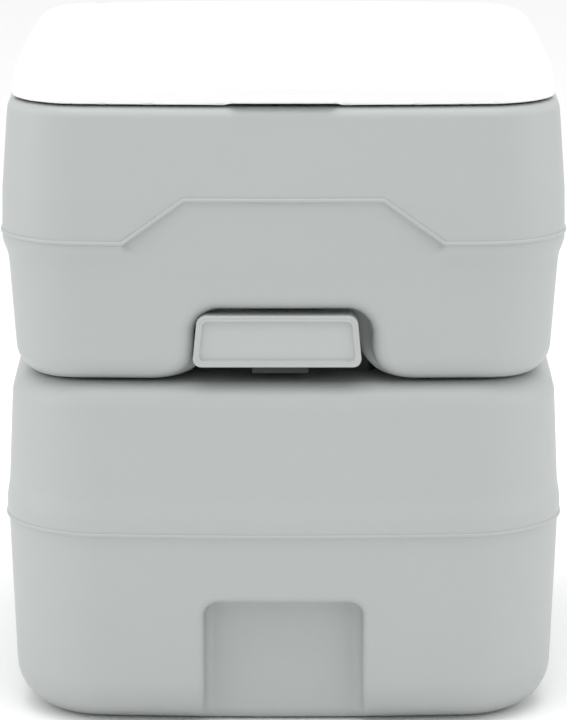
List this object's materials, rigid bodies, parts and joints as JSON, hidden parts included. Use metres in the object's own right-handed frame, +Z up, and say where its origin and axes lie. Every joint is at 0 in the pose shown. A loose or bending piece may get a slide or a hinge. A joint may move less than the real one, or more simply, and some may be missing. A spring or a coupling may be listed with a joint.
{
  "type": "portable toilet",
  "caption": "Portable camp toilet: seat and lid on a flush-water tank that lifts off a waste tank with a pull-out slide valve, hand pump and swivel spout.",
  "frame": {"origin": "on the floor, at the middle of the outline", "axes": "+Z up, the front with the valve handle at -Y, +X to the right of someone facing the front"},
  "size_m": [0.3648, 0.4145, 0.434],
  "materials": {
    "grey_tank": "fine grained, blow moulded",
    "grey_pull": "satin, injection moulded",
    "white_shell": "satin gloss, injection moulded",
    "grey_fitting": "satin, injection moulded",
    "black_plastic": "satin",
    "rubber": "matt",
    "soft_pad": "matt",
    "steel": "plated",
    "hose": "smooth"
  },
  "bodies": {
    "waste_tank": {"waste_tank": "grey_tank", "valve_base": "black_plastic", "valve_cover": "black_plastic", "valve_screws": "steel", "valve_gasket": "rubber", "valve_seal": "rubber", "spout_nut": "black_plastic", "spout_o_ring": "rubber", "vent_housing": "black_plastic", "vent_spring": "steel"},
    "valve": {"valve_blade": "black_plastic", "valve_handle": "grey_pull", "handle_screws": "steel"},
    "spout": {"spout_elbow": "grey_fitting"},
    "spout_cap": {"spout_cap": "black_plastic", "spout_cap_gasket": "rubber"},
    "vent": {"vent_button": "grey_fitting", "vent_seal": "rubber"},
    "flush_tank": {"upper_tank": "grey_tank", "bowl": "grey_tank", "flush_nozzle": "white_shell", "flush_hose": "hose", "pump_collar": "grey_fitting", "pump_cylinder": "white_shell", "pump_foot_valve": "white_shell", "pump_spring": "steel", "hinge_post_right": "grey_fitting", "hinge_post_left": "grey_fitting", "hinge_pins": "steel", "hinge_screws": "steel", "latch_pins": "steel"},
    "seat": {"seat": "white_shell", "seat_buffers": "soft_pad"},
    "lid": {"lid": "white_shell", "lid_buffers": "soft_pad"},
    "pump": {"pump_knob": "grey_pull", "pump_rod": "steel", "pump_piston": "white_shell", "pump_piston_ring": "rubber"},
    "fill_cap": {"fill_cap": "grey_fitting", "fill_cap_gasket": "rubber"},
    "latch_right": {"latch_right": "grey_fitting"},
    "latch_left": {"latch_left": "grey_fitting"}
  },
  "joints": [
    {"name": "valve_slide", "type": "slide", "parent": "waste_tank", "child": "valve", "axis": [0, -1, 0], "range_m": [0, 0.098]},
    {"name": "spout_swivel", "type": "hinge", "parent": "waste_tank", "child": "spout", "pos_m": [-0.1, 0.168, 0.2], "axis": [0, 0, 1], "range_deg": [0, 110]},
    {"name": "spout_cap_turn", "type": "hinge", "parent": "spout", "child": "spout_cap", "pos_m": [0.03, 0.168, 0.224], "axis": [1, 0, 0], "range_deg": [0, 90]},
    {"name": "vent_press", "type": "slide", "parent": "waste_tank", "child": "vent", "axis": [0, 0, -1], "range_m": [0, 0.003], "stiffness_N_per_m": 500, "springref_m": -0.002, "deforming": ["vent_spring"]},
    {"name": "flush_tank_lift", "type": "slide", "parent": "waste_tank", "child": "flush_tank", "axis": [0, 0, 1], "range_m": [0, 0.3]},
    {"name": "seat_hinge", "type": "hinge", "parent": "flush_tank", "child": "seat", "pos_m": [0, 0.137, 0.421], "axis": [-1, 0, 0], "range_deg": [0, 95]},
    {"name": "lid_hinge", "type": "hinge", "parent": "seat", "child": "lid", "pos_m": [0, 0.137, 0.421], "axis": [1, 0, 0], "range_deg": [-95, 0]},
    {"name": "pump_stroke", "type": "slide", "parent": "flush_tank", "child": "pump", "axis": [0, 0, -1], "range_m": [0, 0.014], "stiffness_N_per_m": 300, "springref_m": -0.004, "deforming": ["pump_spring"]},
    {"name": "fill_cap_turn", "type": "hinge", "parent": "flush_tank", "child": "fill_cap", "pos_m": [0.128, 0.171, 0.41], "axis": [0, 0, 1], "range_deg": [0, 90]},
    {"name": "latch_right_pivot", "type": "hinge", "parent": "flush_tank", "child": "latch_right", "pos_m": [0.164, 0.02, 0.264], "axis": [0, -1, 0], "range_deg": [-6, 80]},
    {"name": "latch_left_pivot", "type": "hinge", "parent": "flush_tank", "child": "latch_left", "pos_m": [-0.164, 0.02, 0.264], "axis": [0, 1, 0], "range_deg": [-6, 80]}
  ]
}
